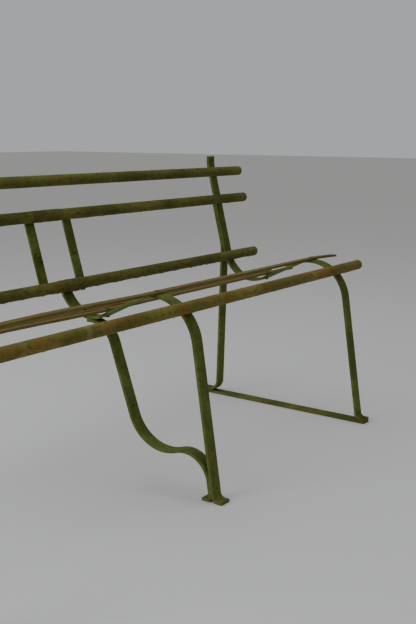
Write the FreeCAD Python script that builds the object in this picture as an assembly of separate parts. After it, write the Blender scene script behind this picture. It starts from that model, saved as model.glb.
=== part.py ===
"""Old iron garden bench: bent flat-bar frames, round back and front rails, flat seat slats.

Millimetres.  The origin is on the ground under the middle of the bench.  +X runs along the
rails to the sitter's left, +Y points from the front edge to the back, and +Z points up.

Two end frames and one centre support stand in planes across the bench.  Each is forged from
flat bar, so its shape is a side view (Y, Z) with the bar's width along X.
"""
import FreeCAD, Part
import math
import os

# ---- overall layout ---------------------------------------------------------------------
FRAME_SPACING = 740.0        # centre support to each end frame
RAIL_LENGTH = 1724.0
SLAT_LENGTH = 1760.0
BAR_WIDTH = 32.0             # flat bar of the frames, 1 1/4 in by about 5/16 in
BAR_THICKNESS = 7.5
RAIL_RADIUS = 14.75          # round tube of the back and front rails
RAIL_WALL = 2.6
SLAT_WIDTH = 24.0
SLAT_THICKNESS = 6.0
SHORT_STRAP_WIDTH = 28.0
SHORT_STRAP_THICKNESS = 5.0

# ---- side view of an end frame, measured on its front and top faces ----------------------
STUB_TOP_Z = 776.0           # top of the upright, which ends in a short vertical stub
STUB_FACE_Y = 267.0
STUB_BEND_RADIUS = 60.0
UPRIGHT_LEAN = 14.2          # degrees back from vertical
SEAT_CENTRE_Y = 100.0        # centre of the one arc that joins the upright to the seat
SEAT_CENTRE_Z = 499.5
SEAT_RADIUS = 100.0
SEAT_RISE = 25.6             # degrees, the seat climbs towards the front edge
HUMP_CENTRE_Y = -108.5       # centre of the rounded front edge
HUMP_CENTRE_Z = 355.5
HUMP_RADIUS = 120.0
LEG_LEAN = 8.8               # degrees, the foot stands further forward than the knee
FOOT_RADIUS = 16.0
FOOT_TIP_Y = -306.0
BAR_BACK_Y = 306.0           # back end of the floor bar

# ---- back leg -----------------------------------------------------------------------------
BACK_LEG_FOOT_Y = 226.5      # centre line, just above the foot bend
BACK_LEG_LEAN = 1.9          # degrees forward from vertical, going up
BACK_LEG_FOOT_RADIUS = 36.0
BACK_LEG_KNEE_RADIUS = 150.0
BACK_LEG_TOP_Z = 652.0       # end of the lap behind the upright
BACK_LEG_TIP_Y = 298.0

# ---- heights and places -------------------------------------------------------------------
TOP_RAIL_Z = 728.0
MIDDLE_RAIL_Z = 643.0
LOWER_RAIL_Z = 468.0
LOST_RAIL_Z = 550.0          # level, on the line of the rails' centres, of a lost fourth back rail
FRONT_RAIL_ANGLE = 132.6     # degrees round the hump's centre, from +Y towards +Z
CENTRE_STRAP_TOP_Z = 479.0
SHORT_STRAP_X = (-74.0, 55.0)
SHORT_STRAP_OVERRUN = 12.0   # past the centre of the rail at each end
SHORT_STRAP_LEAN = 2.4       # degrees, both short straps slope sideways a little, fitted by eye
STUB_HOLE_Z = 763.0
SPARE_RIVET_Z = 536.0        # level on the same line of a small rivet in the left short strap
SPARE_RIVET_ASIDE = 8.0      # from the strap's middle line
FRONT_SLAT_Y = -104.0
MIDDLE_SLAT_Y = 52.0
REAR_SLAT_Y = 133.0
LOST_SLAT_Y = -26.0          # open rivet holes of a fourth seat slat
MIDDLE_SLAT_TILT = 5.0       # degrees, this slat is nearly level and stands on its front edge
SLAT_DROOP = 5.0             # the front slat's free ends are bent down by this much
SLAT_DROOP_LENGTH = 105.0

# ---- brace of the centre support, its centre line -----------------------------------------
BRACE_TOP_Y = 108.0
BRACE_KNEE_Y = 46.0
BRACE_TROUGH = (-65.5, 72.0)
BRACE_RISE = 16.6            # degrees, climbing forward from the trough to the crest
BRACE_TOE_Y = -249.0
BRACE_KNEE_RADIUS = 72.0
BRACE_TROUGH_RADIUS = 108.0
BRACE_CREST_RADIUS = 70.0
BRACE_TOE_RADIUS = 9.0
BRACE_TOP_RIVET_Y = 100.0
BRACE_FOOT_RIVET_Z = 33.0
BRACE_FREE_HOLE_Z = 187.0    # an open hole part way down the brace

# ---- lumpy joints where two lengths of rail meet ------------------------------------------
JOINT_LENGTH = 102.0
MIDDLE_JOINT_X = -35.0
LOWER_JOINT_X = 6.0
MIDDLE_JOINT_WALL = 1.0
LOWER_JOINT_WALL = 1.3
COLLAR_DEPTH = 0.72          # the collar stops this share of the rail's radius behind its centre
BEAD_RADIUS = 5.0            # weld beads in a row under the lower joint
BEAD_XS = (6.0, 18.0, 28.0, 41.0, 50.0)

# ---- fixings ------------------------------------------------------------------------------
SCREW_RADIUS = 3.0
SCREW_HEAD_RADIUS = 6.5
SCREW_HEAD_HEIGHT = 3.6
SCREW_BITE = 7.0             # how far a rail screw goes in past the rail's surface
RIVET_RADIUS = 3.0
RIVET_HEAD_RADIUS = 6.0
RIVET_HEAD_HEIGHT = 2.6
RIVET_TAIL_RADIUS = 5.0
RIVET_TAIL_HEIGHT = 1.8
LOST_SCREW_STICK_OUT = 9.0   # the round heads of the two screws in the short straps
LOST_SCREW_HEAD_RADIUS = 5.2
LOST_SCREW_HEAD_ROUND = 3.5
SPARE_RIVET_RADIUS = 2.0
SPARE_RIVET_HEAD_RADIUS = 3.8
SPARE_RIVET_HEAD_HEIGHT = 4.5
STUB_HOLE_RADIUS = 3.5
LAP_RIVET_Z = (530.0, 600.0)
FOOT_RIVET_SETBACK = 9.0     # from the end of each foot
HEAD_ROUND = 1.6

HALF_T = BAR_THICKNESS / 2


# ---- plane geometry in the side view ------------------------------------------------------
def direction(degrees):
    """Unit vector (y, z) at an angle from +Y towards +Z."""
    return (math.cos(math.radians(degrees)), math.sin(math.radians(degrees)))


def add(point, along, length=1.0):
    return (point[0] + along[0] * length, point[1] + along[1] * length)


def cross(point_a, dir_a, point_b, dir_b):
    """Where two lines meet."""
    det = dir_a[0] * dir_b[1] - dir_a[1] * dir_b[0]
    dy = point_b[0] - point_a[0]
    dz = point_b[1] - point_a[1]
    return add(point_a, dir_a, (dy * dir_b[1] - dz * dir_b[0]) / det)


def unit(start, end):
    length = math.dist(start, end)
    return ((end[0] - start[0]) / length, (end[1] - start[1]) / length)


def left_of(along):
    return (-along[1], along[0])


def offset_corners(corners, distance):
    """The corner points of a path moved sideways, to its left for a positive distance."""
    dirs = [unit(a, b) for a, b in zip(corners, corners[1:])]
    moved = [add(corners[0], left_of(dirs[0]), distance)]
    for corner, before, after in zip(corners[1:], dirs, dirs[1:]):
        start = add(corner, left_of(before), distance)
        moved.append(cross(start, before, add(corner, left_of(after), distance), after))
    moved.append(add(corners[-1], left_of(dirs[-1]), distance))
    return moved


def rounded_edges(corners, radii):
    """Straight runs joined by tangent arcs, as edges in the plane X = 0."""
    edges = []
    start = corners[0]
    for before, corner, after, radius in zip(corners, corners[1:], corners[2:], radii):
        into = unit(before, corner)
        out = unit(corner, after)
        turn = math.acos(max(-1.0, min(1.0, into[0] * out[0] + into[1] * out[1])))
        reach = radius * math.tan(turn / 2)
        arc_start = add(corner, into, -reach)
        arc_end = add(corner, out, reach)
        bulge = unit(corner, add(arc_start, unit(arc_start, arc_end), math.dist(arc_start, arc_end) / 2))
        middle = add(corner, bulge, radius / math.cos(turn / 2) - radius)
        edges.append(Part.LineSegment(vector(start), vector(arc_start)).toShape())
        edges.append(Part.Arc(vector(arc_start), vector(middle), vector(arc_end)).toShape())
        start = arc_end
    edges.append(Part.LineSegment(vector(start), vector(corners[-1])).toShape())
    return edges


def vector(point, x=0.0):
    return FreeCAD.Vector(x, point[0], point[1])


def bent_bar(corners, radii, width, thickness, x_centre):
    """A flat bar bent on edge-on dies: centre-line corners and centre-line bend radii."""
    turns = []
    for before, corner, after in zip(corners, corners[1:], corners[2:]):
        into = unit(before, corner)
        out = unit(corner, after)
        turns.append(math.copysign(1.0, into[0] * out[1] - into[1] * out[0]))
    half = thickness / 2
    left = offset_corners(corners, half)
    right = offset_corners(corners, -half)
    left_radii = [radius - half * turn for radius, turn in zip(radii, turns)]
    right_radii = [radius + half * turn for radius, turn in zip(radii, turns)]
    edges = rounded_edges(left, left_radii)
    edges += rounded_edges(right, right_radii)
    edges.append(Part.LineSegment(vector(left[0]), vector(right[0])).toShape())
    edges.append(Part.LineSegment(vector(left[-1]), vector(right[-1])).toShape())
    face = Part.Face(Part.Wire(Part.__sortEdges__(edges)))
    face.translate(FreeCAD.Vector(x_centre - width / 2, 0, 0))
    return face.extrude(FreeCAD.Vector(width, 0, 0))


# ---- the lines that every frame shares ------------------------------------------------------
UPRIGHT_DIR = direction(90 - UPRIGHT_LEAN)                 # going up
UPRIGHT_NORMAL = (-UPRIGHT_DIR[1], UPRIGHT_DIR[0])         # out of the front face
SEAT_CENTRE = (SEAT_CENTRE_Y, SEAT_CENTRE_Z)
HUMP_CENTRE = (HUMP_CENTRE_Y, HUMP_CENTRE_Z)
RISE_DIR = direction(180 - SEAT_RISE)                      # going forward and up
RISE_NORMAL = (RISE_DIR[1], -RISE_DIR[0])                  # out of the top face
LEG_DIR = direction(270 - LEG_LEAN)                        # going down and forward
LEG_NORMAL = (LEG_DIR[1], -LEG_DIR[0])                     # out of the front face


def upright_face(z):
    """Point of the upright's front face at a height."""
    start = add(SEAT_CENTRE, UPRIGHT_NORMAL, -SEAT_RADIUS)
    return add(start, UPRIGHT_DIR, (z - start[1]) / UPRIGHT_DIR[1])


def leg_face(z):
    """Point of the front leg's front face at a height."""
    start = add(HUMP_CENTRE, LEG_NORMAL, HUMP_RADIUS)
    return add(start, LEG_DIR, (z - start[1]) / LEG_DIR[1])


def rise_face(y):
    """Point of the straight seat run's top face at a depth."""
    start = add(HUMP_CENTRE, RISE_NORMAL, HUMP_RADIUS)
    return add(start, RISE_DIR, (y - start[0]) / RISE_DIR[0])


def frame_path(foot_z):
    """Centre-line corners and radii of the long bar, from above the seat to its toe."""
    upright = add(upright_face(600.0), UPRIGHT_NORMAL, -HALF_T)
    rise = add(rise_face(0.0), RISE_NORMAL, -HALF_T)
    leg = add(leg_face(200.0), LEG_NORMAL, -HALF_T)
    toe_line = (0.0, foot_z + HALF_T)
    corners = [
        cross(upright, UPRIGHT_DIR, rise, RISE_DIR),
        cross(rise, RISE_DIR, leg, LEG_DIR),
        cross(leg, LEG_DIR, toe_line, (1.0, 0.0)),
        (FOOT_TIP_Y, toe_line[1]),
    ]
    radii = [SEAT_RADIUS + HALF_T, HUMP_RADIUS - HALF_T, FOOT_RADIUS]
    return corners, radii


def rail_on_upright(z):
    """Centre of a rail that lies against the upright's front face."""
    foot_z = z - RAIL_RADIUS * UPRIGHT_NORMAL[1]
    return add(upright_face(foot_z), UPRIGHT_NORMAL, RAIL_RADIUS)


def rail_in_seat_curve(z):
    """Centre of a rail that lies against the hollow side of the seat arc."""
    reach = SEAT_RADIUS - RAIL_RADIUS
    return (SEAT_CENTRE_Y + math.sqrt(reach ** 2 - (z - SEAT_CENTRE_Z) ** 2), z)


TOP_RAIL = rail_on_upright(TOP_RAIL_Z)
MIDDLE_RAIL = rail_on_upright(MIDDLE_RAIL_Z)
LOWER_RAIL = rail_in_seat_curve(LOWER_RAIL_Z)
FRONT_RAIL = add(HUMP_CENTRE, direction(FRONT_RAIL_ANGLE), HUMP_RADIUS + RAIL_RADIUS)
FRONT_RAIL_NORMAL = direction(FRONT_RAIL_ANGLE)
LOWER_RAIL_NORMAL = unit(LOWER_RAIL, SEAT_CENTRE)
SHORT_DIR = unit(LOWER_RAIL, MIDDLE_RAIL)
SHORT_NORMAL = left_of(SHORT_DIR)


# ---- fixings --------------------------------------------------------------------------------
def sagitta(radius, half_width):
    """How far a curved face stands off a flat one of this half width."""
    return radius - math.sqrt(radius ** 2 - half_width ** 2)


def stud(point, axis, x, start, end, radius):
    """A round bar along an axis of the side view, from start to end millimetres along it."""
    base = vector(add(point, axis, start), x)
    return Part.makeCylinder(radius, end - start, base, vector(axis))


def dome(point, axis, x, radius, height, rim_round=HEAD_ROUND):
    """A round head that stands on a face and has a softened rim."""
    head = stud(point, axis, x, 0.0, height, radius)
    top = vector(add(point, axis, height), x)
    rims = [edge for edge in head.Edges if edge.Closed and edge.CenterOfMass.distanceToPoint(top) < 0.01]
    return head.makeFillet(rim_round, rims)


def rivet(point, axis, x, grip, tail=True):
    """A rivet whose head rests at point; axis points out of the work, grip is its thickness."""
    body = stud(point, axis, x, -grip, 0.0, RIVET_RADIUS)
    body = body.fuse(dome(point, axis, x, RIVET_HEAD_RADIUS, RIVET_HEAD_HEIGHT))
    if tail:
        back = add(point, axis, -grip)
        inward = (-axis[0], -axis[1])
        body = body.fuse(dome(back, inward, x, RIVET_TAIL_RADIUS, RIVET_TAIL_HEIGHT))
    return body.removeSplitter()


def rail_screw(rail, outward, x, grip):
    """A screw from behind, through a bar of thickness grip, into the rail's wall.

    grip includes what a head needs to clear a bar whose back is hollow.
    """
    face = add(rail, outward, -RAIL_RADIUS)
    inward = (-outward[0], -outward[1])
    body = stud(face, outward, x, -grip, SCREW_BITE, SCREW_RADIUS)
    back = add(face, outward, -grip)
    return body.fuse(dome(back, inward, x, SCREW_HEAD_RADIUS, SCREW_HEAD_HEIGHT)).removeSplitter()


def drill(shape, point, axis, x, depth, radius):
    """A straight hole, centred on point and depth to each side of it."""
    return shape.cut(stud(point, axis, x, -depth, depth, radius))


# ---- rails ----------------------------------------------------------------------------------
def rail(centre, screw_places):
    """A round tube with a tapped hole in its back wall for each screw's place and direction."""
    ends = FreeCAD.Vector(-RAIL_LENGTH / 2, centre[0], centre[1])
    along = FreeCAD.Vector(1, 0, 0)
    tube = Part.makeCylinder(RAIL_RADIUS, RAIL_LENGTH, ends, along)
    tube = tube.cut(Part.makeCylinder(RAIL_RADIUS - RAIL_WALL, RAIL_LENGTH, ends, along))
    for x, outward in screw_places:
        back = add(centre, outward, -RAIL_RADIUS)
        tube = drill(tube, back, outward, x, SCREW_BITE, SCREW_RADIUS)
    return tube


END_XS = (-FRAME_SPACING, FRAME_SPACING)
SUPPORT_XS = (-FRAME_SPACING, 0.0, FRAME_SPACING)


def joint_sleeve(centre, wall, x, bead_xs=()):
    """The built-up collar where two lengths of a rail were joined, cut away for the straps."""
    start = FreeCAD.Vector(x - JOINT_LENGTH / 2, centre[0], centre[1])
    along = FreeCAD.Vector(1, 0, 0)
    collar = Part.makeCylinder(RAIL_RADIUS + wall, JOINT_LENGTH, start, along)
    for bead_x in bead_xs:
        low = FreeCAD.Vector(bead_x, centre[0] - BEAD_RADIUS / 2, centre[1] - RAIL_RADIUS)
        collar = collar.fuse(Part.makeSphere(BEAD_RADIUS, low))
    collar = collar.cut(Part.makeCylinder(RAIL_RADIUS, JOINT_LENGTH, start, along))
    lean = -math.degrees(math.atan2(SHORT_DIR[0], SHORT_DIR[1]))
    behind = Part.makeBox(JOINT_LENGTH, RAIL_RADIUS * 2, RAIL_RADIUS * 4,
                          FreeCAD.Vector(start.x, 0, -RAIL_RADIUS * 2))
    behind.rotate(FreeCAD.Vector(0, 0, 0), along, lean)
    behind.translate(vector(add(centre, SHORT_NORMAL, -RAIL_RADIUS * COLLAR_DEPTH)))
    return collar.cut(behind)


# ---- seat slats -------------------------------------------------------------------------------
def slat_seat(y):
    """The middle of a slat's underside, and the direction out of its top face."""
    if y == MIDDLE_SLAT_Y:
        return middle_slat_seat()
    if y > tangent_y():
        half = SLAT_WIDTH / 2
        normal = unit((y, SEAT_CENTRE_Z - math.sqrt(SEAT_RADIUS ** 2 - (y - SEAT_CENTRE_Y) ** 2)),
                      SEAT_CENTRE)
        return add(SEAT_CENTRE, normal, -math.sqrt(SEAT_RADIUS ** 2 - half ** 2)), normal
    if y > rise_start_y():
        return rise_face(y), RISE_NORMAL
    normal = unit(HUMP_CENTRE, (y, HUMP_CENTRE_Z + math.sqrt(HUMP_RADIUS ** 2 - (y - HUMP_CENTRE_Y) ** 2)))
    return add(HUMP_CENTRE, normal, HUMP_RADIUS), normal


def middle_slat_seat():
    """The middle slat stands with its front lower edge on the straight rise of the seat."""
    normal = direction(90 - MIDDLE_SLAT_TILT)
    edge = rise_face(MIDDLE_SLAT_Y - SLAT_WIDTH / 2)
    return add(edge, left_of(normal), -SLAT_WIDTH / 2), normal


def tangent_y():
    """Depth where the seat arc runs out into the straight rise."""
    return add(SEAT_CENTRE, RISE_NORMAL, -SEAT_RADIUS)[0]


def rise_start_y():
    """Depth where the straight rise runs out into the hump."""
    return add(HUMP_CENTRE, RISE_NORMAL, HUMP_RADIUS)[0]


def slat(y, droop):
    """A flat bar along the bench; its free ends may be bent down a little."""
    seat, normal = slat_seat(y)
    side = left_of(normal)
    half = SLAT_WIDTH / 2
    end_x = SLAT_LENGTH / 2
    bend_x = end_x - SLAT_DROOP_LENGTH
    low = [(-end_x, -droop), (-bend_x, 0.0), (bend_x, 0.0), (end_x, -droop)]
    if droop == 0:
        low = [(-end_x, 0.0), (end_x, 0.0)]
    high = [(x, height + SLAT_THICKNESS) for x, height in reversed(low)]
    corner = add(seat, side, -half)
    points = [vector(add(corner, normal, height), x) for x, height in low + high]
    face = Part.Face(Part.makePolygon(points + points[:1]))
    body = face.extrude(vector(side) * SLAT_WIDTH)
    for x in SUPPORT_XS:
        body = drill(body, seat, normal, x, SLAT_THICKNESS * 2, RIVET_RADIUS)
    return body


# ---- frames -----------------------------------------------------------------------------------
def seat_holes(bar, x, skipped=()):
    """Rivet holes for the slats, the lost slat's among them, and the front rail's screw hole."""
    for y in (FRONT_SLAT_Y, LOST_SLAT_Y, MIDDLE_SLAT_Y, REAR_SLAT_Y):
        seat, normal = slat_seat(y)
        bar = drill(bar, seat, normal, x, BAR_THICKNESS * 2, RIVET_RADIUS)
    face = add(FRONT_RAIL, FRONT_RAIL_NORMAL, -RAIL_RADIUS)
    return drill(bar, face, FRONT_RAIL_NORMAL, x, BAR_THICKNESS * 2, SCREW_RADIUS)


def rail_hole(bar, centre, outward, x):
    face = add(centre, outward, -RAIL_RADIUS)
    return drill(bar, face, outward, x, BAR_THICKNESS * 3, SCREW_RADIUS)


def end_strap(x):
    """One bar: stub, leaning upright, dished seat, rounded front edge, front leg and toe."""
    corners, radii = frame_path(BAR_THICKNESS)
    stub = (STUB_FACE_Y + HALF_T, STUB_TOP_Z)
    upright = add(upright_face(600.0), UPRIGHT_NORMAL, -HALF_T)
    bend = cross(upright, UPRIGHT_DIR, stub, (0.0, 1.0))
    bar = bent_bar([stub, bend] + corners, [STUB_BEND_RADIUS] + radii, BAR_WIDTH, BAR_THICKNESS, x)
    bar = seat_holes(bar, x)
    bar = rail_hole(bar, TOP_RAIL, UPRIGHT_NORMAL, x)
    bar = rail_hole(bar, MIDDLE_RAIL, UPRIGHT_NORMAL, x)
    bar = rail_hole(bar, LOWER_RAIL, LOWER_RAIL_NORMAL, x)
    bar = drill(bar, (STUB_FACE_Y, STUB_HOLE_Z), (-1.0, 0.0), x, BAR_THICKNESS * 2, STUB_HOLE_RADIUS)
    for z in LAP_RIVET_Z:
        bar = drill(bar, upright_face(z), UPRIGHT_NORMAL, x, BAR_THICKNESS * 2, RIVET_RADIUS)
    return foot_hole(bar, FOOT_TIP_Y + FOOT_RIVET_SETBACK, x)


def foot_hole(bar, y, x):
    return drill(bar, (y, BAR_THICKNESS), (0.0, 1.0), x, BAR_THICKNESS + 1, RIVET_RADIUS)


def centre_strap():
    """The same bar without an upright: it starts behind the lower back rail."""
    corners, radii = frame_path(0.0)
    top = add(upright_face(CENTRE_STRAP_TOP_Z), UPRIGHT_NORMAL, -HALF_T)
    bar = bent_bar([top] + corners, radii, BAR_WIDTH, BAR_THICKNESS, 0.0)
    bar = seat_holes(bar, 0.0)
    bar = rail_hole(bar, LOWER_RAIL, LOWER_RAIL_NORMAL, 0.0)
    bar = drill(bar, (BRACE_TOP_RIVET_Y, SEAT_CENTRE_Z - SEAT_RADIUS), (0.0, 1.0), 0.0,
                BAR_THICKNESS * 2, RIVET_RADIUS)
    return drill(bar, leg_face(BRACE_FOOT_RIVET_Z), LEG_NORMAL, 0.0, BAR_THICKNESS * 2, RIVET_RADIUS)


def back_leg(x):
    """Foot turned back on the floor bar, a nearly upright leg, and a lap behind the upright."""
    lap = add(upright_face(600.0), UPRIGHT_NORMAL, -HALF_T * 3)
    leg_dir = direction(90 + BACK_LEG_LEAN)
    leg_low = (BACK_LEG_FOOT_Y, 100.0)
    foot_line = (0.0, BAR_THICKNESS + HALF_T)
    corners = [
        add(lap, UPRIGHT_DIR, (BACK_LEG_TOP_Z - lap[1]) / UPRIGHT_DIR[1]),
        cross(lap, UPRIGHT_DIR, leg_low, leg_dir),
        cross(leg_low, leg_dir, foot_line, (1.0, 0.0)),
        (BACK_LEG_TIP_Y, foot_line[1]),
    ]
    bar = bent_bar(corners, [BACK_LEG_KNEE_RADIUS, BACK_LEG_FOOT_RADIUS], BAR_WIDTH, BAR_THICKNESS, x)
    bar = rail_hole(bar, MIDDLE_RAIL, UPRIGHT_NORMAL, x)
    for z in LAP_RIVET_Z:
        bar = drill(bar, upright_face(z), UPRIGHT_NORMAL, x, BAR_THICKNESS * 3, RIVET_RADIUS)
    return foot_hole(bar, BACK_LEG_TIP_Y - FOOT_RIVET_SETBACK, x)


def floor_bar(x):
    """Flat on the ground, from behind the back foot to the front toe."""
    corner = FreeCAD.Vector(x - BAR_WIDTH / 2, FOOT_TIP_Y, 0)
    bar = Part.makeBox(BAR_WIDTH, BAR_BACK_Y - FOOT_TIP_Y, BAR_THICKNESS, corner)
    bar = foot_hole(bar, FOOT_TIP_Y + FOOT_RIVET_SETBACK, x)
    return foot_hole(bar, BACK_LEG_TIP_Y - FOOT_RIVET_SETBACK, x)


def brace_top_z():
    """Height of the brace's upper face, where it meets the underside of the seat arc."""
    return SEAT_CENTRE_Z - SEAT_RADIUS - BAR_THICKNESS


def brace():
    """S-shaped bar from under the dip of the seat to the back of the centre leg's foot."""
    top_z = brace_top_z() - HALF_T
    beside_leg = add(leg_face(100.0), LEG_NORMAL, -BAR_THICKNESS - HALF_T)
    climb = direction(180 - BRACE_RISE)
    corners = [
        (BRACE_TOP_Y, top_z),
        (BRACE_KNEE_Y, top_z),
        BRACE_TROUGH,
        cross(BRACE_TROUGH, climb, beside_leg, LEG_DIR),
        cross((0.0, HALF_T), (1.0, 0.0), beside_leg, LEG_DIR),
        (BRACE_TOE_Y, HALF_T),
    ]
    radii = [BRACE_KNEE_RADIUS, BRACE_TROUGH_RADIUS, BRACE_CREST_RADIUS, BRACE_TOE_RADIUS]
    bar = bent_bar(corners, radii, BAR_WIDTH, BAR_THICKNESS, 0.0)
    bar = drill(bar, (BRACE_TOP_RIVET_Y, top_z), (0.0, 1.0), 0.0, BAR_THICKNESS, RIVET_RADIUS)
    run = unit(corners[1], corners[2])
    free = add(corners[1], run, (BRACE_FREE_HOLE_Z - corners[1][1]) / run[1])
    bar = drill(bar, free, left_of(run), 0.0, BAR_THICKNESS, SCREW_RADIUS)
    return drill(bar, leg_face(BRACE_FOOT_RIVET_Z), LEG_NORMAL, 0.0, BAR_THICKNESS * 3, RIVET_RADIUS)


def short_strap(x):
    """A thin flat strap behind the middle and lower rails, near the middle of the bench."""
    half = SHORT_STRAP_THICKNESS / 2
    low = add(add(LOWER_RAIL, SHORT_NORMAL, -RAIL_RADIUS - half), SHORT_DIR, -SHORT_STRAP_OVERRUN)
    high = add(add(MIDDLE_RAIL, SHORT_NORMAL, -RAIL_RADIUS - half), SHORT_DIR, SHORT_STRAP_OVERRUN)
    bar = bent_bar([low, high], [], SHORT_STRAP_WIDTH, SHORT_STRAP_THICKNESS, x)
    middle = vector(add(low, SHORT_DIR, math.dist(low, high) / 2), x)
    bar.rotate(middle, vector(SHORT_NORMAL), SHORT_STRAP_LEAN)
    for z in (MIDDLE_RAIL[1], LOWER_RAIL[1], LOST_RAIL_Z):
        bar = drill(bar, short_face(z), SHORT_NORMAL, short_x(x, z), BAR_THICKNESS, SCREW_RADIUS)
    if x == SHORT_STRAP_X[0]:
        face, hole_x = spare_rivet_place()
        bar = drill(bar, face, SHORT_NORMAL, hole_x, BAR_THICKNESS, SPARE_RIVET_RADIUS)
    return bar


def short_face(z):
    """Point of a short strap's front face, level with z at the middle of a rail there."""
    middle = add(MIDDLE_RAIL, SHORT_DIR, (z - MIDDLE_RAIL[1]) / SHORT_DIR[1])
    return add(middle, SHORT_NORMAL, -RAIL_RADIUS)


def short_x(x, z):
    """Where a leaning short strap's middle line is at a height; x is its place half way up."""
    half_way = (MIDDLE_RAIL[1] + LOWER_RAIL[1]) / 2
    return x - (z - half_way) / SHORT_DIR[1] * math.tan(math.radians(SHORT_STRAP_LEAN))


def spare_rivet_place():
    """Where the small rivet goes through the left short strap."""
    x = short_x(SHORT_STRAP_X[0], SPARE_RIVET_Z) + SPARE_RIVET_ASIDE
    return short_face(SPARE_RIVET_Z), x


# ---- groups of fixings --------------------------------------------------------------------------
def back_rail_screws():
    screws = []
    for x in END_XS:
        screws.append(rail_screw(TOP_RAIL, UPRIGHT_NORMAL, x, BAR_THICKNESS))
        screws.append(rail_screw(MIDDLE_RAIL, UPRIGHT_NORMAL, x, BAR_THICKNESS * 2))
    for x in SUPPORT_XS:
        screws.append(rail_screw(LOWER_RAIL, LOWER_RAIL_NORMAL, x, BAR_THICKNESS))
    for strap_x in SHORT_STRAP_X:
        for rail in (MIDDLE_RAIL, LOWER_RAIL):
            x = short_x(strap_x, rail[1])
            screws.append(rail_screw(rail, SHORT_NORMAL, x, SHORT_STRAP_THICKNESS))
    return Part.makeCompound(screws)


def front_rail_screws():
    grip = BAR_THICKNESS + sagitta(HUMP_RADIUS - BAR_THICKNESS, SCREW_HEAD_RADIUS)
    screws = [rail_screw(FRONT_RAIL, FRONT_RAIL_NORMAL, x, grip) for x in SUPPORT_XS]
    return Part.makeCompound(screws)


def lost_rail_screws():
    """Two tall round heads left on the short straps where another rail has gone."""
    screws = []
    for strap_x in SHORT_STRAP_X:
        x = short_x(strap_x, LOST_RAIL_Z)
        face = short_face(LOST_RAIL_Z)
        inward = (-SHORT_NORMAL[0], -SHORT_NORMAL[1])
        shank = stud(face, SHORT_NORMAL, x, -SHORT_STRAP_THICKNESS, 0.0, SCREW_RADIUS)
        head = dome(face, SHORT_NORMAL, x, LOST_SCREW_HEAD_RADIUS, LOST_SCREW_STICK_OUT,
                    LOST_SCREW_HEAD_ROUND)
        back = add(face, inward, SHORT_STRAP_THICKNESS)
        tail = dome(back, inward, x, RIVET_TAIL_RADIUS, RIVET_TAIL_HEIGHT)
        screws.append(shank.fuse(head).fuse(tail).removeSplitter())
    return Part.makeCompound(screws)


def spare_rivet():
    """A small rivet with a tall head, flush behind, that holds nothing any more."""
    face, x = spare_rivet_place()
    shank = stud(face, SHORT_NORMAL, x, -SHORT_STRAP_THICKNESS, 0.0, SPARE_RIVET_RADIUS)
    head = dome(face, SHORT_NORMAL, x, SPARE_RIVET_HEAD_RADIUS, SPARE_RIVET_HEAD_HEIGHT)
    return shank.fuse(head).removeSplitter()


def slat_rivets():
    rivets = []
    between = math.radians(SEAT_RISE - MIDDLE_SLAT_TILT)
    front_gap = sagitta(HUMP_RADIUS - BAR_THICKNESS, RIVET_TAIL_RADIUS)
    middle_gap = (SLAT_WIDTH / 2 + RIVET_TAIL_RADIUS) * math.tan(between)
    middle_gap += BAR_THICKNESS / math.cos(between) - BAR_THICKNESS
    rear_gap = sagitta(SEAT_RADIUS, SLAT_WIDTH / 2)
    for y, gap in ((FRONT_SLAT_Y, front_gap), (MIDDLE_SLAT_Y, middle_gap), (REAR_SLAT_Y, rear_gap)):
        seat, normal = slat_seat(y)
        top = add(seat, normal, SLAT_THICKNESS)
        grip = SLAT_THICKNESS + BAR_THICKNESS + gap
        rivets += [rivet(top, normal, x, grip) for x in SUPPORT_XS]
    return Part.makeCompound(rivets)


def back_leg_rivets():
    rivets = []
    for x in END_XS:
        for z in LAP_RIVET_Z:
            back = add(upright_face(z), UPRIGHT_NORMAL, -BAR_THICKNESS * 2)
            outward = (-UPRIGHT_NORMAL[0], -UPRIGHT_NORMAL[1])
            rivets.append(rivet(back, outward, x, BAR_THICKNESS * 2, tail=False))
    return Part.makeCompound(rivets)


def foot_rivets():
    rivets = []
    for x in END_XS:
        for y in (FOOT_TIP_Y + FOOT_RIVET_SETBACK, BACK_LEG_TIP_Y - FOOT_RIVET_SETBACK):
            top = (y, BAR_THICKNESS * 2)
            rivets.append(rivet(top, (0.0, 1.0), x, BAR_THICKNESS * 2, tail=False))
    return Part.makeCompound(rivets)


def brace_rivets():
    stand_off = sagitta(SEAT_RADIUS, RIVET_HEAD_RADIUS)
    top = (BRACE_TOP_RIVET_Y, brace_top_z() + BAR_THICKNESS + stand_off)
    upper = rivet(top, (0.0, 1.0), 0.0, BAR_THICKNESS * 2 + stand_off)
    behind = add(leg_face(BRACE_FOOT_RIVET_Z), LEG_NORMAL, -BAR_THICKNESS * 2)
    outward = (-LEG_NORMAL[0], -LEG_NORMAL[1])
    lower = rivet(behind, outward, 0.0, BAR_THICKNESS * 2, tail=False)
    return Part.makeCompound([upper, lower])


# ---- the bench ------------------------------------------------------------------------------------
def screw_places(xs, outward):
    return [(x, outward) for x in xs]


middle_on_shorts = screw_places([short_x(x, MIDDLE_RAIL[1]) for x in SHORT_STRAP_X], SHORT_NORMAL)
lower_on_shorts = screw_places([short_x(x, LOWER_RAIL[1]) for x in SHORT_STRAP_X], SHORT_NORMAL)
on_end_straps = screw_places(END_XS, UPRIGHT_NORMAL)
on_seat_arcs = screw_places(SUPPORT_XS, LOWER_RAIL_NORMAL)

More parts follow.
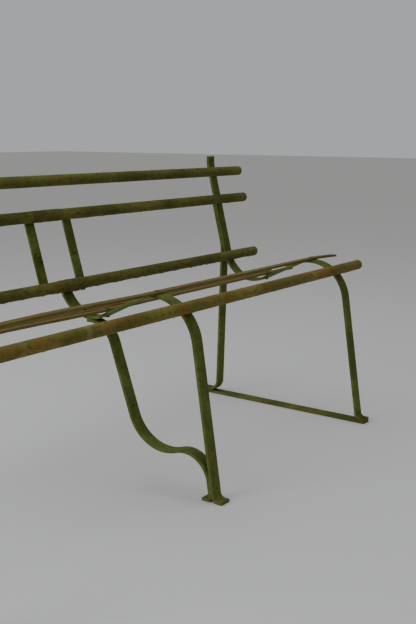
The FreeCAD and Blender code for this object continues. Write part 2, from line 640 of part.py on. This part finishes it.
nodes = {
    "back_rail_top": rail(TOP_RAIL, on_end_straps),
    "back_rail_middle": rail(MIDDLE_RAIL, on_end_straps + middle_on_shorts),
    "back_rail_lower": rail(LOWER_RAIL, on_seat_arcs + lower_on_shorts),
    "front_rail": rail(FRONT_RAIL, screw_places(SUPPORT_XS, FRONT_RAIL_NORMAL)),
    "middle_rail_joint": joint_sleeve(MIDDLE_RAIL, MIDDLE_JOINT_WALL, MIDDLE_JOINT_X),
    "lower_rail_joint": joint_sleeve(LOWER_RAIL, LOWER_JOINT_WALL, LOWER_JOINT_X, BEAD_XS),
    "seat_slat_front": slat(FRONT_SLAT_Y, SLAT_DROOP),
    "seat_slat_middle": slat(MIDDLE_SLAT_Y, 0.0),
    "seat_slat_rear": slat(REAR_SLAT_Y, 0.0),
    "centre_strap": centre_strap(),
    "centre_brace": brace(),
    "back_rail_screws": back_rail_screws(),
    "front_rail_screws": front_rail_screws(),
    "lost_rail_screws": lost_rail_screws(),
    "spare_strap_rivet": spare_rivet(),
    "slat_rivets": slat_rivets(),
    "back_leg_rivets": back_leg_rivets(),
    "foot_rivets": foot_rivets(),
    "brace_rivets": brace_rivets(),
}
for side, x in zip(("left", "right"), END_XS):
    nodes[side + "_end_strap"] = end_strap(x)
    nodes[side + "_back_leg"] = back_leg(x)
    nodes[side + "_floor_bar"] = floor_bar(x)
for side, x in zip(("left", "right"), SHORT_STRAP_X):
    nodes[side + "_short_strap"] = short_strap(x)

os.makedirs("parts", exist_ok=True)
for name, shape in nodes.items():
    shape.exportStep("parts/" + name + ".step")
    print(name, "solids", len(shape.Solids), "volume", round(shape.Volume), "valid", shape.isValid())
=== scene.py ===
import math

import bmesh
import bpy
from mathutils import Matrix, Vector, noise


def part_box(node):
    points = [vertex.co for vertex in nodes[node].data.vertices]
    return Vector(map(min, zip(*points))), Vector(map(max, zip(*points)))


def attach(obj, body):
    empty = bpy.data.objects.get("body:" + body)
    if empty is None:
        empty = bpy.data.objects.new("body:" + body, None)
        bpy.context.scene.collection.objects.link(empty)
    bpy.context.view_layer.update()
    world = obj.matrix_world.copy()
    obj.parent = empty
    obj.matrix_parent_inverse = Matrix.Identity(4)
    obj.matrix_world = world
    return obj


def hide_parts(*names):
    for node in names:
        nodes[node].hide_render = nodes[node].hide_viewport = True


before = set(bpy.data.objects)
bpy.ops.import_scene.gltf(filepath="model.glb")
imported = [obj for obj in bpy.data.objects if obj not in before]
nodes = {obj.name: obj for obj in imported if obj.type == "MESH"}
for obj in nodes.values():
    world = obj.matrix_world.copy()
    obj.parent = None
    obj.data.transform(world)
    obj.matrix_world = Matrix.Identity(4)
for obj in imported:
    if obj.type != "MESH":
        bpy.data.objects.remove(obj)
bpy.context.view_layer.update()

MM = 0.001


# ---------------------------------------------------------------------------------------------
# End frames: a seat strap, a back leg and a floor bar on each side.  Each is a length of wrought
# flat bar, bent hot on a former; the rolled edges are slightly round and the paint is thin there.
# The bars are riveted to each other and stand on the flat floor bar.
# ---------------------------------------------------------------------------------------------
def linear(hex_colour, alpha=1.0):
    """An sRGB hex colour as the linear values that the shader needs."""
    values = [int(hex_colour[i:i + 2], 16) / 255 for i in (1, 3, 5)]
    return [v / 12.92 if v <= 0.04045 else ((v + 0.055) / 1.055) ** 2.4 for v in values] + [alpha]


def add(tree, kind, settings=None, stops=(), **links):
    """Adds a shader node; settings are its own properties, links are sockets or plain values.

    stops are a colour ramp's (place, value) pairs, a value being a grey or a hex colour; a link's
    name is the socket's name, or the letter i and the socket's number.
    """
    node = tree.nodes.new(kind)
    for key, value in (settings or {}).items():
        setattr(node, key, value)
    for number, (place, value) in enumerate(stops):
        elements = node.color_ramp.elements
        element = elements[number] if number < len(elements) else elements.new(place)
        element.position = place
        element.color = linear(value) if isinstance(value, str) else (value, value, value, 1.0)
    for key, value in links.items():
        numbered = key[0] == "i" and key[1:].isdigit()
        socket = node.inputs[int(key[1:]) if numbered else key]
        if isinstance(value, bpy.types.NodeSocket):
            tree.links.new(value, socket)
        else:
            socket.default_value = value
    return node


def brushed_oil_paint(name, shade, light, grime, rust, rust_share, freckle=3.5, grain=(1, 1, 1),
                      patches=()):
    """Many coats of old green oil paint on iron: matt, uneven, with rust freckles coming through.

    shade and light are the paint's two tones and grime is the dirt in it; rust is the rust's dark
    and light colour, and rust_share, from 0 to 1, says how much of the paint has gone; freckle is
    a rust spot's size in mm; grain stretches the pattern along a bar; patches are worn lengths,
    each a (place in metres along the bench, half length in metres, hex colour).
    """
    material = bpy.data.materials.new(name)
    material.use_nodes = True
    tree = material.node_tree
    shader = tree.nodes["Principled BSDF"]
    shader.inputs["Specular IOR Level"].default_value = 0.15
    shader.inputs["IOR"].default_value = 1.5
    place = add(tree, "ShaderNodeTexCoord").outputs["Object"]
    axes = add(tree, "ShaderNodeSeparateXYZ", Vector=place).outputs

    # Three sizes of pattern: clouds between two coats, a mottle of dirt and the rust's own specks.
    long = add(tree, "ShaderNodeMapping", Vector=place, Scale=grain).outputs[0]
    cloud = add(tree, "ShaderNodeTexNoise", Vector=long, Scale=1 / (70 * MM), Detail=4.0).outputs[0]
    mottle = add(tree, "ShaderNodeTexNoise", Vector=long, Scale=1 / (9 * MM), Detail=7.0,
                 Roughness=0.65).outputs[0]
    speck = add(tree, "ShaderNodeTexNoise", Vector=long, Scale=1 / (freckle * MM), Detail=2.0,
                Roughness=0.5).outputs[0]
    coats = add(tree, "ShaderNodeValToRGB", stops=[(0.38, shade), (0.62, light)], Fac=cloud).outputs[0]
    dull = add(tree, "ShaderNodeValToRGB", stops=[(0.47, 0.0), (0.64, 0.65)], Fac=mottle).outputs[0]
    paint = add(tree, "ShaderNodeMix", {"data_type": "RGBA"}, i0=dull, i6=coats,
                i7=linear(grime)).outputs[2]

    # Lengths that hands, knees and rain have worn to another colour, with ragged ends.
    for middle, reach, colour in patches:
        far = add(tree, "ShaderNodeMath", {"operation": "SUBTRACT"}, i0=axes["X"], i1=middle).outputs[0]
        far = add(tree, "ShaderNodeMath", {"operation": "ABSOLUTE"}, i0=far).outputs[0]
        ragged = add(tree, "ShaderNodeMath", {"operation": "MULTIPLY"}, i0=mottle,
                     i1=reach * 1.3).outputs[0]
        far = add(tree, "ShaderNodeMath", {"operation": "ADD"}, i0=far, i1=ragged).outputs[0]
        near = add(tree, "ShaderNodeMapRange", Value=far, i1=reach * 1.55, i2=reach * 1.15, i3=0.0,
                   i4=0.5).outputs[0]
        paint = add(tree, "ShaderNodeMix", {"data_type": "RGBA"}, i0=near, i6=paint,
                    i7=linear(colour)).outputs[2]

    # Rust comes through in freckles, thickest where the coats have worn, near the damp ground and
    # along the arrises.
    damp = add(tree, "ShaderNodeMapRange", Value=axes["Z"], i1=40 * MM, i2=0.0, i3=0.0,
               i4=0.22).outputs[0]
    worn = add(tree, "ShaderNodeTexNoise", Vector=place, Scale=1 / (32 * MM), Detail=3.0).outputs[0]
    worn = add(tree, "ShaderNodeMath", {"operation": "ADD"}, i0=worn, i1=damp).outputs[0]
    none = 0.62 - 0.30 * rust_share
    full = 0.80 - 0.22 * rust_share
    areas = add(tree, "ShaderNodeValToRGB", stops=[(none, 0.0), (full, 1.0)], Fac=worn).outputs[0]
    edge = 0.57 - 0.06 * rust_share
    spots = add(tree, "ShaderNodeValToRGB", stops=[(edge, 0.0), (edge + 0.05, 1.0)],
                Fac=speck).outputs[0]
    through = add(tree, "ShaderNodeMath", {"operation": "MULTIPLY"}, i0=areas, i1=spots).outputs[0]
    arris = add(tree, "ShaderNodeAttribute", {"attribute_name": "arris"}).outputs["Fac"]
    chips = add(tree, "ShaderNodeValToRGB", stops=[(0.56, 0.0), (0.66, 0.3 + 0.5 * rust_share)],
                Fac=mottle).outputs[0]
    rubbed = add(tree, "ShaderNodeMath", {"operation": "MULTIPLY"}, i0=arris, i1=chips).outputs[0]
    bare = add(tree, "ShaderNodeMath", {"operation": "MAXIMUM"}, i0=through, i1=rubbed).outputs[0]
    oxide = add(tree, "ShaderNodeValToRGB", stops=[(0.40, rust[0]), (0.62, rust[1])],
                Fac=mottle).outputs[0]
    skin = add(tree, "ShaderNodeMix", {"data_type": "RGBA"}, i0=bare, i6=paint, i7=oxide).outputs[2]
    tree.links.new(skin, shader.inputs["Base Color"])

    # The paint has a last trace of shine, and the rust has none.
    sheen = add(tree, "ShaderNodeMapRange", Value=bare, i3=0.74, i4=0.95).outputs[0]
    tree.links.new(sheen, shader.inputs["Roughness"])

    # Brush marks and pitting under the paint, and the crumbly edge of each rust spot.
    pits = add(tree, "ShaderNodeBump", Strength=0.45, Distance=0.7 * MM, Height=mottle).outputs[0]
    crust = add(tree, "ShaderNodeBump", Strength=0.5, Distance=0.4 * MM, Height=bare,
                Normal=pits).outputs[0]
    tree.links.new(crust, shader.inputs["Normal"])
    return material


# Matt olive green with few rust spots, so each bar reads as one quiet dark line.
frame_paint = brushed_oil_paint(
    "old_oil_paint_on_flat_bar", shade="#49521d", light="#606a2d", grime="#353a13",
    rust=("#5a3a16", "#7c5426"), rust_share=0.15)


SHARP = math.radians(50)          # a turn between two faces that counts as an arris
SHADED_APART = math.radians(38)   # a turn that the shading doesn't smooth over


def open_bar(node, prefix):
    """A new piece with a copy of the node's mesh, and that mesh open for changes.

    Its triangles are joined into whole flat faces first.
    """
    mesh = nodes[node].data.copy()
    piece = bpy.data.objects.new(prefix + node, mesh)
    bpy.context.scene.collection.objects.link(piece)
    bar = bmesh.new()
    bar.from_mesh(mesh)
    bmesh.ops.remove_doubles(bar, verts=bar.verts, dist=0.01 * MM)
    bmesh.ops.dissolve_limit(bar, angle_limit=math.radians(0.5), verts=bar.verts, edges=bar.edges)
    return piece, bar


def arrises(bar):
    """The bar's sharp edges."""
    return [e for e in bar.edges if e.is_manifold and e.calc_face_angle() > SHARP]


def close_bar(piece, bar, edges, width):
    """Rounds the edges over a width in mm, marks them for the paint and fills the piece's mesh."""
    worn = bar.verts.layers.float.new("arris")
    made = bmesh.ops.bevel(bar, geom=edges, offset=width * MM, segments=2, profile=0.5,
                           affect="EDGES", clamp_overlap=True, material=-1)
    for vert in made["verts"]:
        vert[worn] = 1.0
    bar.to_mesh(piece.data)
    bar.free()
    piece.data.shade_smooth()
    piece.data.set_sharp_from_angle(angle=SHADED_APART)


def rolled_bar(node, arris=0.9):
    """The node's own bar with its long edges rounded as a rolled bar's are; arris is in mm."""
    piece, bar = open_bar(node, "rolled_")
    close_bar(piece, bar, arrises(bar), arris)
    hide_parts(node)
    return piece


def paint_piece(piece, material):
    """Gives a piece its paint and says that it stands still with the rest of the bench."""
    piece.data.materials.clear()
    piece.data.materials.append(material)
    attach(piece, "root")


for side in ("left", "right"):
    for part in ("_end_strap", "_back_leg", "_floor_bar"):
        paint_piece(rolled_bar(side + part), frame_paint)


# ---------------------------------------------------------------------------------------------
# Centre support: a seat strap like the ends' but cut off behind the lower back rail, and a second
# bar bent into a long S that props the dip of the seat and is riveted to the foot.
# ---------------------------------------------------------------------------------------------
for node in ("centre_strap", "centre_brace"):
    paint_piece(rolled_bar(node), frame_paint)


# ---------------------------------------------------------------------------------------------
# Short straps: two thin offcuts of flat bar behind the middle and lower back rails, put in to
# stiffen the back at its joints.  Roughly cut, a little out of true.
# ---------------------------------------------------------------------------------------------
for node in ("left_short_strap", "right_short_strap"):
    paint_piece(rolled_bar(node, arris=0.7), frame_paint)


# ---------------------------------------------------------------------------------------------
# Back rails: three lengths of drawn iron tube, sawn off square.  The paint lies in runs and
# lumps over a pitted wall, with rust scabs and old drips hanging along the underside.
# ---------------------------------------------------------------------------------------------
TUBE_WALL = 2.6 * MM
SAWN_EDGE = 0.6 * MM


def smooth_step(value, low, high):
    """0 below low, 1 above high, and a soft change between."""
    share = min(1.0, max(0.0, (value - low) / (high - low)))
    return share * share * (3 - 2 * share)


def fine_tube(radius, length, sides, rings):
    """A thin open tube round the X axis, cut into rings so that its wall can be pitted."""
    tube = bmesh.new()
    bmesh.ops.create_cone(tube, cap_ends=False, segments=sides, radius1=radius, radius2=radius,
                          depth=length, matrix=Matrix.Rotation(math.pi / 2, 4, "Y"))
    along = [e for e in tube.edges if abs(e.verts[0].co.x - e.verts[1].co.x) > length / 2]
    bmesh.ops.subdivide_edges(tube, edges=along, cuts=rings, use_grid_fill=True)
    bmesh.ops.recalc_face_normals(tube, faces=tube.faces)
    return tube


def old_tube(node, scabs=0.0):
    """A pitted tube in the place of a rail; scabs is the height in mm of the rust below it."""
    low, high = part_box(node)
    centre = (low + high) / 2
    radius = (high.z - low.z) / 2 - 0.25 * MM
    tube = fine_tube(radius, high.x - low.x, sides=36, rings=215)

    # Slow and quick waves in the wall, some 45 and 11 mm long, and scabs of rust underneath.
    for vert in tube.verts:
        out = Vector((0, vert.co.y, vert.co.z)).normalized()
        at = vert.co + centre
        wave = noise.noise(at * 22) * 0.22 + noise.noise(at * 90) * 0.16
        below = smooth_step(-out.z, 0.55, 0.95)
        lump = smooth_step(noise.noise(at * 110) + 0.5 * noise.noise(at * 260), 0.10, 0.5)
        vert.co += out * (min(wave, 0.25) + scabs * below * lump) * MM
        vert.co += centre
    mesh = bpy.data.meshes.new(node)
    tube.to_mesh(mesh)
    tube.free()
    mesh.shade_smooth()
    piece = bpy.data.objects.new("tube_" + node, mesh)
    bpy.context.scene.collection.objects.link(piece)
    wall = piece.modifiers.new("wall", "SOLIDIFY")
    wall.thickness = TUBE_WALL
    wall.offset = -1
    wall.use_rim = True
    rim = piece.modifiers.new("sawn_edge", "BEVEL")
    rim.limit_method = "ANGLE"
    rim.angle_limit = SHARP
    rim.width = SAWN_EDGE
    rim.segments = 2
    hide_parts(node)
    return piece


# The same green gone browner and pitted, so the tubes look older and rougher than the frames.
back_paint = brushed_oil_paint(
    "old_oil_paint_on_back_tubes", shade="#4d4f1e", light="#65642a", grime="#383613",
    rust=("#5f3614", "#8c5526"), rust_share=0.35, freckle=3.4, grain=(0.5, 1, 1))

paint_piece(old_tube("back_rail_top"), back_paint)
paint_piece(old_tube("back_rail_middle", scabs=0.6), back_paint)
paint_piece(old_tube("back_rail_lower", scabs=2.0), back_paint)


# ---------------------------------------------------------------------------------------------
# Front rail: the same tube, screwed to the rounded front edge of the three supports.  Knees and
# hands have worn its paint, so brown and red rust shows all over it.
# ---------------------------------------------------------------------------------------------
PALE_RING = (-0.345, 0.014, "#7f7a4c")
RUSTY_LENGTH = (0.62, 0.05, "#7a4f1e")

# Green worn through to brown and red specks, so the eye sees where knees and hands have been.
front_paint = brushed_oil_paint(
    "worn_oil_paint_on_front_tube", shade="#5d5924", light="#776f33", grime="#493f18",
    rust=("#703814", "#a45c27"), rust_share=0.68, freckle=3.6, grain=(0.6, 1, 1),
    patches=(PALE_RING, RUSTY_LENGTH))

paint_piece(old_tube("front_rail", scabs=0.5), front_paint)


# ---------------------------------------------------------------------------------------------
# Rail joints: where two lengths of tube meet, the seam has been built up with weld metal and
# painted over.  The lower one has a row of round weld beads hanging under it.
# ---------------------------------------------------------------------------------------------
COLLAR_METAL = 1.5 * MM
BEAD_RADIUS = 4.0 * MM
BEAD_XS = (6, 18, 28, 41, 50)   # mm from the middle of the bench


def welded_collar(node, rail, proud, bead_xs=()):
    """Lumpy metal round a rail, thin at its ends and bare behind.

    proud is the metal's height in mm; bead_xs are the places of the beads that hang below it.
    """
    low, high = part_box(node)
    rail_low, rail_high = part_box(rail)
    middle = (rail_low + rail_high) / 2
    radius = (rail_high.z - rail_low.z) / 2
    length = high.x - low.x
    collar = fine_tube(radius, length, sides=48, rings=50)
    centre = Vector((low.x + length / 2, middle.y, middle.z))
    for vert in collar.verts:
        out = Vector((0, vert.co.y, vert.co.z)).normalized()
        at = vert.co + centre
        to_end = length / 2 - abs(vert.co.x)
        ragged = 4 * MM * noise.noise(at * 120)
        full = smooth_step(to_end + ragged, 0.0, 7 * MM) * smooth_step(-out.y, -0.75, -0.35)
        crust = 0.55 + 0.5 * noise.noise(at * 160) + 0.5 * noise.noise(at * 55)
        vert.co += out * (full * min(1.3, max(0.15, crust)) * proud - 0.2 * (1 - full)) * MM
        vert.co += centre
    bmesh.ops.solidify(collar, geom=collar.faces[:], thickness=COLLAR_METAL)
    bmesh.ops.recalc_face_normals(collar, faces=collar.faces)

    # Each bead is a closed lump that runs up into the collar.
    for bead_x in bead_xs:
        spot = Vector((bead_x * MM, middle.y - 2 * MM, middle.z - radius - 0.3 * MM))
        bead = bmesh.ops.create_icosphere(collar, subdivisions=3, radius=BEAD_RADIUS)
        for vert in bead["verts"]:
            vert.co = vert.co * (1 + 0.25 * noise.noise(vert.co * 300 + spot * 900)) + spot
    mesh = bpy.data.meshes.new(node)
    collar.to_mesh(mesh)
    collar.free()
    mesh.shade_smooth()
    piece = bpy.data.objects.new("weld_" + node, mesh)
    bpy.context.scene.collection.objects.link(piece)
    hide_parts(node)
    return piece


# Darker paint over lumps, so each joint shows as a knot in the line of its rail.
weld_paint = brushed_oil_paint(
    "paint_over_weld_metal", shade="#47481a", light="#5e5c26", grime="#302e11",
    rust=("#563213", "#7f4d22"), rust_share=0.45, freckle=3.5)

paint_piece(welded_collar("middle_rail_joint", "back_rail_middle", 1.0), weld_paint)
paint_piece(welded_collar("lower_rail_joint", "back_rail_lower", 1.4, BEAD_XS),
            weld_paint)


# ---------------------------------------------------------------------------------------------
# Seat slats: three thin flat irons laid across the supports and riveted.  Rain has stood on them,
# so the paint has gone brown, the edges are eaten and rust runs in long streaks.
# ---------------------------------------------------------------------------------------------
SLAT_CUT = 9 * MM   # the short lengths that a slat is cut into


def wasted_slat(node, bow=5.0):
    """The node's slat, cut into short lengths so that its edges can be eaten unevenly.

    bow is how far, in mm, the slat has sprung up between its left two fixings.
    """
    piece, slat = open_bar(node, "flat_iron_")
    low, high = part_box(node)
    cut_x = low.x + 6 * MM
    while cut_x < high.x - 5 * MM:
        parts = slat.verts[:] + slat.edges[:] + slat.faces[:]
        bmesh.ops.bisect_plane(slat, geom=parts, dist=0.001 * MM, plane_co=(cut_x, 0, 0),
                               plane_no=(1, 0, 0))
        cut_x += SLAT_CUT

    # The edges are eaten up to a millimetre deep, in bites of some 17 and 5 mm.
    sharp = arrises(slat)
    for vert in {v for e in sharp for v in e.verts}:
        eaten = noise.noise(vert.co * 60) * 0.5 + noise.noise(vert.co * 190) * 0.35
        inward = vert.normal.copy()
        inward.x = 0
        vert.co -= inward * max(0.0, eaten + 0.15) * MM

    left_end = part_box("left_end_strap")
    left_fixing = (left_end[0].x + left_end[1].x) / 2
    for vert in slat.verts:
        share = vert.co.x / left_fixing
        if 0 < share < 1:
            vert.co.z += bow * MM * math.sin(math.pi * share) ** 2
    close_bar(piece, slat, sharp, 0.8)
    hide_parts(node)
    return piece


# Brown streaks drawn out along the iron, so the eye sees where rain has stood and run.
slat_paint = brushed_oil_paint(
    "rain_worn_paint_on_slats", shade="#534f25", light="#706938", grime="#40361a",
    rust=("#63391a", "#8d5a2e"), rust_share=0.85, freckle=4.0, grain=(0.05, 1.6, 1.6))

for node in ("seat_slat_front", "seat_slat_middle", "seat_slat_rear"):
    paint_piece(wasted_slat(node), slat_paint)


# ---------------------------------------------------------------------------------------------
# Rivets and screws: iron, domed by hand and painted with the bench, as are the tall round heads
# left on the short straps where a rail has gone.  The rail screws behind have lost their paint.
# ---------------------------------------------------------------------------------------------
# Dark paint with fine rust, so each head shows as a small dot on its bar.
rivet_paint = brushed_oil_paint(
    "paint_on_rivet_heads", shade="#454b19", light="#5a5f26", grime="#34310f",
    rust=("#4a2c17", "#6b4324"), rust_share=0.6, freckle=2.5)

# Brown rust with no green left, so the screws stand out from the painted bars.
screw_rust = brushed_oil_paint(
    "rusty_screw_iron", shade="#43301c", light="#5a4226", grime="#2f2214",
    rust=("#4d2d16", "#734522"), rust_share=0.9, freckle=2.0)

PAINTED = ("slat_rivets", "back_leg_rivets", "foot_rivets", "brace_rivets", "lost_rail_screws",
           "spare_strap_rivet")
RUSTY = ("back_rail_screws", "front_rail_screws")

for group in PAINTED + RUSTY:
    nodes[group].data.materials.clear()
    nodes[group].data.materials.append(rivet_paint if group in PAINTED else screw_rust)


# ---------------------------------------------------------------------------------------------
# The room: a plain pale floor whose edge is far off, a big soft window on the sitter's right, a
# wide lamp overhead and an even light from everywhere else.
# ---------------------------------------------------------------------------------------------
FLOOR_REACH = 30.0   # metres from the bench to each side

floor_mesh = bpy.data.meshes.new("floor")
plane = bmesh.new()
bmesh.ops.create_grid(plane, x_segments=1, y_segments=1, size=FLOOR_REACH)
plane.to_mesh(floor_mesh)
plane.free()
floor = bpy.data.objects.new("floor", floor_mesh)
bpy.context.scene.collection.objects.link(floor)

# Pale and matt, so it shows the bench's outline and takes a soft shadow.
pale = bpy.data.materials.new("pale_floor")
pale.use_nodes = True
pale_shader = pale.node_tree.nodes["Principled BSDF"]
pale_shader.inputs["Base Color"].default_value = linear("#d6d3cd")
pale_shader.inputs["Roughness"].default_value = 0.8
floor_mesh.materials.append(pale)

world = bpy.data.worlds.new("soft_room")
bpy.context.scene.world = world
world.use_nodes = True
sky = world.node_tree.nodes["Background"]
sky.inputs["Color"].default_value = linear("#dfe2e6")
sky.inputs["Strength"].default_value = 0.58


def soft_window(name, place, target, size, power):
    """A square area light, a little cool like the sky, that faces a target; metres and watts."""
    light = bpy.data.lights.new(name, "AREA")
    light.shape = "SQUARE"
    light.size = size
    light.energy = power
    light.color = linear("#eef4ff")[:3]
    lamp = bpy.data.objects.new(name, light)
    lamp.location = place
    lamp.rotation_euler = (Vector(target) - Vector(place)).to_track_quat("-Z", "Y").to_euler()
    bpy.context.scene.collection.objects.link(lamp)


soft_window("window", place=(-3.6, 0.9, 1.6), target=(0, 0, 0.45), size=2.2, power=95)
soft_window("ceiling", place=(0.2, 0.2, 3.4), target=(0, 0, 0.4), size=3.0, power=34)

# The camera stands in front of the bench on the sitter's right, and looks along it and down a little.
CAMERA_PLACE = (-1.6117, -1.4102, 0.8453)
TURN = math.radians(-54.328)
DOWN = math.radians(11.273)
ROLL = math.radians(0.248)

camera_data = bpy.data.cameras.new("camera")
camera_data.lens = 51.50
camera_data.sensor_width = 36.0
camera = bpy.data.objects.new("camera", camera_data)
bpy.context.scene.collection.objects.link(camera)
camera.matrix_world = (Matrix.Translation(CAMERA_PLACE) @ Matrix.Rotation(TURN, 4, "Z")
                       @ Matrix.Rotation(math.pi / 2 - DOWN, 4, "X") @ Matrix.Rotation(ROLL, 4, "Z"))
bpy.context.scene.camera = camera
